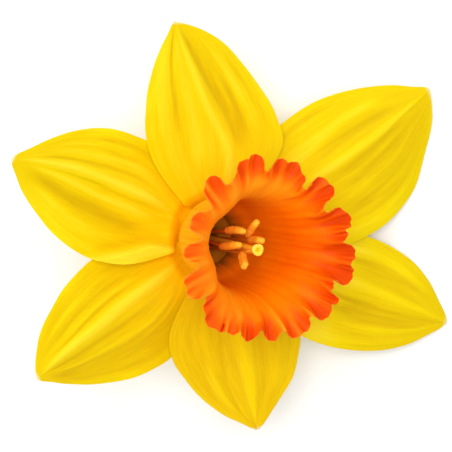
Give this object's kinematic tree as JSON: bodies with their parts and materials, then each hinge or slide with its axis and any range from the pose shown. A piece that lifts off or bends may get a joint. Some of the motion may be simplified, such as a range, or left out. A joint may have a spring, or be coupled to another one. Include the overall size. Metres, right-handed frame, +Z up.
{
  "type": "daffodil flower",
  "caption": "Yellow daffodil flower with overlapping pointed petals and a ruffled orange cup, cut with a short stalk and lying face up.",
  "frame": {"origin": "centre of the box round the lying flower, on the surface it lies on", "axes": "+Z up from the surface; the cup's axis lies in the XZ plane and leans from +Z towards +X"},
  "size_m": [0.0794, 0.082, 0.0538],
  "materials": {
    "tepal_yellow": "soft satin petal tissue",
    "corona_orange": "soft satin petal tissue, darker at the frilled rim",
    "tube_green": "waxy green stalk tissue",
    "stamen_amber": "powdery pollen",
    "pistil_yellow": "moist satin"
  },
  "bodies": {
    "root": {"tepal_top": "tepal_yellow", "tepal_upper_right": "tepal_yellow", "tepal_lower_right": "tepal_yellow", "tepal_bottom": "tepal_yellow", "tepal_lower_left": "tepal_yellow", "tepal_upper_left": "tepal_yellow", "corona": "corona_orange", "floral_tube": "tube_green", "stamen_1": "stamen_amber", "stamen_2": "stamen_amber", "stamen_3": "stamen_amber", "stamen_4": "stamen_amber", "stamen_5": "stamen_amber", "stamen_6": "stamen_amber", "pistil": "pistil_yellow"}
  },
  "joints": []
}
